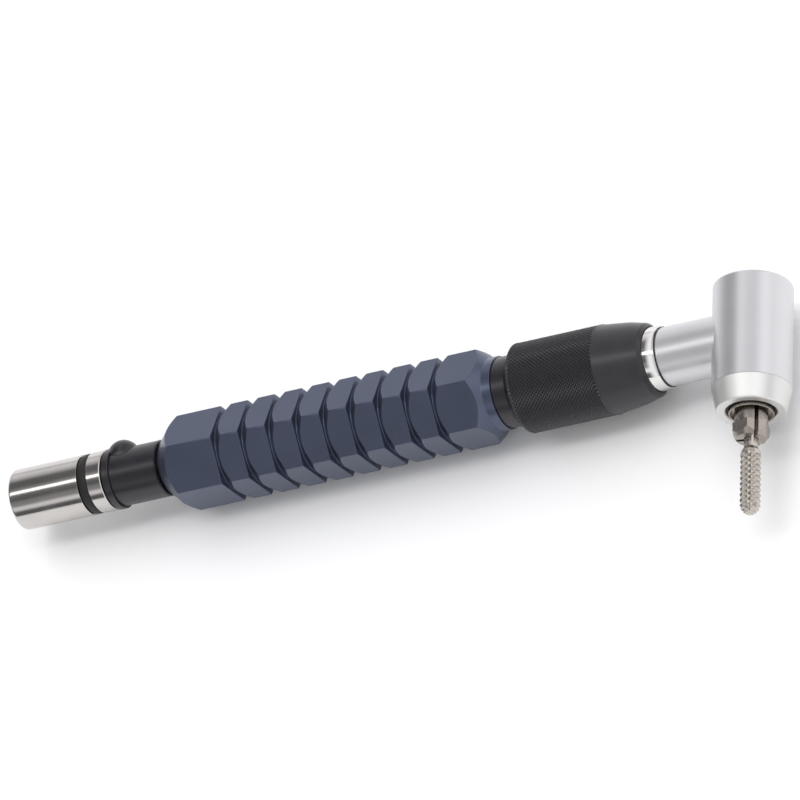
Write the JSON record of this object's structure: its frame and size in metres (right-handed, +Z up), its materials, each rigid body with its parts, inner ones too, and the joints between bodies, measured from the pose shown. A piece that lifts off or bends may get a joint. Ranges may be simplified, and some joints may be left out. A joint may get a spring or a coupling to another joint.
{
  "type": "die grinder",
  "caption": "Right-angle air die grinder: steel hose adaptor, lugged throttle ring, grooved hexagon grip, knurled union nut, cylindrical angle head, slotted collet and ball-nosed burr.",
  "frame": {"origin": "on the ground, under the middle of the whole tool's box", "axes": "+X along the handle axis towards the head; +Y along the spindle axis away from the burr; +Z up, the tool lying on one corner line of its hexagon grip"},
  "size_m": [0.1836, 0.0538, 0.0207],
  "materials": {
    "turned_steel": "fine turned, bright",
    "ground_steel": "ground",
    "chrome_plate": "polished plate",
    "blue_anodise": "slate blue satin anodise",
    "black_oxide": "black oxide, satin",
    "satin_aluminium": "fine satin",
    "pale_aluminium": "pale satin",
    "black_rubber": "matt",
    "sintered_bronze": "porous sintered bronze",
    "brass": "plain",
    "vane_laminate": "phenolic laminate",
    "carbide": "diamond-cut hard metal"
  },
  "bodies": {
    "housing": {"hose_adaptor": "turned_steel", "adaptor_band": "black_rubber", "inlet_filter": "sintered_bronze", "valve_stem": "black_oxide", "throttle_stop_pin": "ground_steel", "valve_seal_front": "black_rubber", "valve_seal_rear": "black_rubber", "grip_housing": "blue_anodise", "motor_spacer": "satin_aluminium", "motor_cylinder": "ground_steel", "rear_end_plate": "ground_steel", "front_end_plate": "ground_steel", "nose_bush": "black_oxide", "union_nut": "black_oxide", "neck_ring": "chrome_plate", "neck_seal": "black_rubber", "neck_tube": "satin_aluminium", "bearing_spacer": "satin_aluminium", "head_housing": "satin_aluminium", "bearing_cap": "pale_aluminium", "dust_seal": "black_rubber", "rotor_rear_bearing_outer_race": "ground_steel", "rotor_front_bearing_outer_race": "ground_steel", "neck_rear_bearing_outer_race": "ground_steel", "neck_front_bearing_outer_race": "ground_steel", "spindle_upper_bearing_outer_race": "ground_steel", "spindle_lower_bearing_outer_race": "ground_steel"},
    "rotor_line": {"rotor": "ground_steel", "vane_1": "vane_laminate", "vane_2": "vane_laminate", "vane_3": "vane_laminate", "vane_4": "vane_laminate", "shaft_coupling": "ground_steel", "drive_shaft": "ground_steel", "bevel_pinion": "ground_steel", "rotor_rear_bearing_inner_race": "ground_steel", "rotor_front_bearing_inner_race": "ground_steel", "neck_rear_bearing_inner_race": "ground_steel", "neck_front_bearing_inner_race": "ground_steel"},
    "spindle_line": {"spindle": "ground_steel", "bevel_gear": "ground_steel", "collet": "ground_steel", "burr": "carbide", "spindle_upper_bearing_inner_race": "ground_steel", "spindle_lower_bearing_inner_race": "ground_steel"},
    "throttle": {"throttle_ring": "black_oxide"},
    "rotor_rear_balls": {"rotor_rear_bearing_ball_cage": "brass"},
    "rotor_front_balls": {"rotor_front_bearing_ball_cage": "brass"},
    "neck_rear_balls": {"neck_rear_bearing_ball_cage": "brass"},
    "neck_front_balls": {"neck_front_bearing_ball_cage": "brass"},
    "spindle_upper_balls": {"spindle_upper_bearing_ball_cage": "brass"},
    "spindle_lower_balls": {"spindle_lower_bearing_ball_cage": "brass"}
  },
  "joints": [
    {"name": "throttle_turn", "type": "hinge", "parent": "housing", "child": "throttle", "pos_m": [-0.06275, 0.01475, 0.01036], "axis": [-1, 0, 0], "range_deg": [0, 60]},
    {"name": "rotor_spin", "type": "hinge", "parent": "housing", "child": "rotor_line", "pos_m": [0.00125, 0.01475, 0.01036], "axis": [1, 0, 0], "continuous": true},
    {"name": "spindle_spin", "type": "hinge", "parent": "housing", "child": "spindle_line", "pos_m": [0.08325, 0.01475, 0.01036], "axis": [0, -1, 0], "continuous": true},
    {"name": "rotor_rear_balls_spin", "type": "hinge", "parent": "housing", "child": "rotor_rear_balls", "pos_m": [-0.01745, 0.01475, 0.01036], "axis": [1, 0, 0], "continuous": true},
    {"name": "rotor_front_balls_spin", "type": "hinge", "parent": "housing", "child": "rotor_front_balls", "pos_m": [0.01995, 0.01475, 0.01036], "axis": [1, 0, 0], "continuous": true},
    {"name": "neck_rear_balls_spin", "type": "hinge", "parent": "housing", "child": "neck_rear_balls", "pos_m": [0.05215, 0.01475, 0.01036], "axis": [1, 0, 0], "continuous": true},
    {"name": "neck_front_balls_spin", "type": "hinge", "parent": "housing", "child": "neck_front_balls", "pos_m": [0.07115, 0.01475, 0.01036], "axis": [1, 0, 0], "continuous": true},
    {"name": "spindle_upper_balls_spin", "type": "hinge", "parent": "housing", "child": "spindle_upper_balls", "pos_m": [0.08325, 0.02335, 0.01036], "axis": [0, -1, 0], "continuous": true},
    {"name": "spindle_lower_balls_spin", "type": "hinge", "parent": "housing", "child": "spindle_lower_balls", "pos_m": [0.08325, 0.00695, 0.01036], "axis": [0, -1, 0], "continuous": true}
  ],
  "couplings": [
    {"joint": "spindle_spin", "follows": "rotor_spin", "ratio": -0.66667},
    {"joint": "rotor_rear_balls_spin", "follows": "rotor_spin", "ratio": 0.4207},
    {"joint": "rotor_front_balls_spin", "follows": "rotor_spin", "ratio": 0.4207},
    {"joint": "neck_rear_balls_spin", "follows": "rotor_spin", "ratio": 0.4077},
    {"joint": "neck_front_balls_spin", "follows": "rotor_spin", "ratio": 0.4077},
    {"joint": "spindle_upper_balls_spin", "follows": "rotor_spin", "ratio": -0.2774},
    {"joint": "spindle_lower_balls_spin", "follows": "rotor_spin", "ratio": -0.2964}
  ]
}
